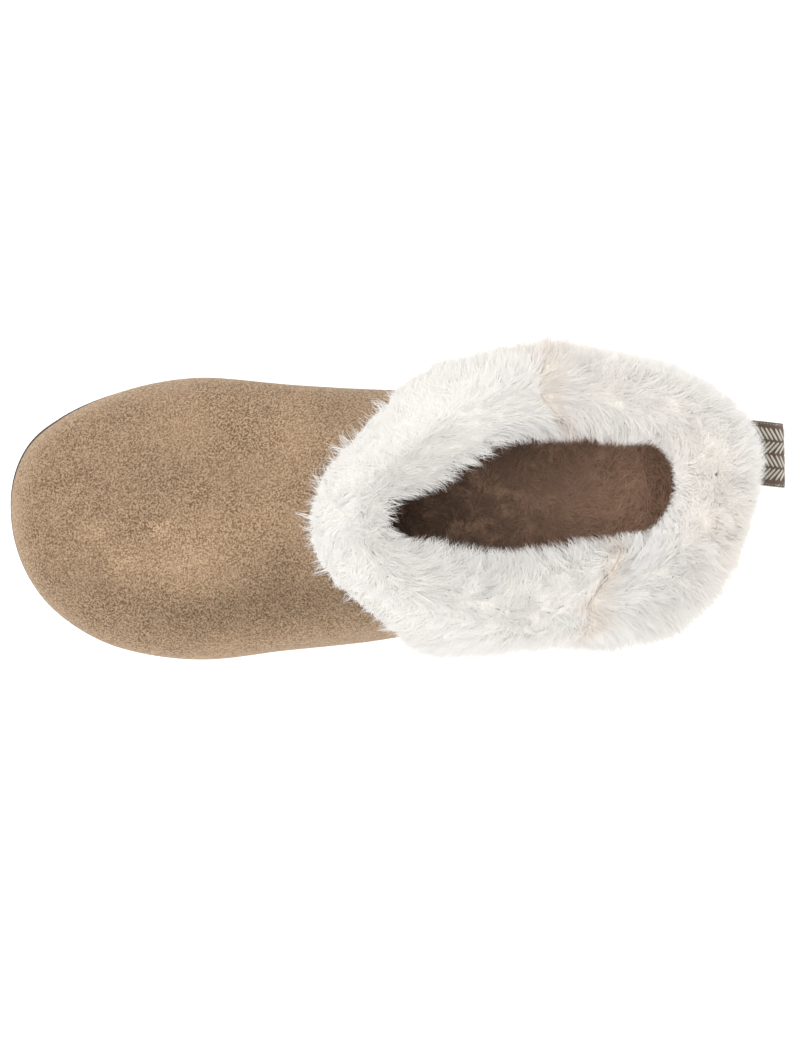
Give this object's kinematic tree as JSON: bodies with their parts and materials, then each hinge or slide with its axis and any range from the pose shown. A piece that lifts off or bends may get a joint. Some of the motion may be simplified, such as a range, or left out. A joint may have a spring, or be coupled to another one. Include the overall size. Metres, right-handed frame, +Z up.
{
  "type": "bootie slipper",
  "caption": "Ankle-low bootie slipper with a hollow suede upper, a deep fur cuff turned down over the collar, a moulded grooved sole and a woven heel pull loop.",
  "frame": {"origin": "middle of the bounding box of all the pieces, on the floor that the sole's heel and forefoot rest on", "axes": "+X runs from the toe to the heel, the toe pointing along -X; +Y is the medial side; +Z is up"},
  "size_m": [0.2876, 0.1186, 0.1151],
  "materials": {
    "outsole_rubber": "matt moulded rubber",
    "upper_suede": "napped suede",
    "insole_pile": "brown pile fabric",
    "cuff_fur": "long cream fur",
    "loop_tape": "woven tape"
  },
  "bodies": {
    "root": {"outsole": "outsole_rubber", "upper": "upper_suede", "insole": "insole_pile", "cuff_front": "cuff_fur", "cuff_back": "cuff_fur", "pull_loop": "loop_tape"}
  },
  "joints": []
}
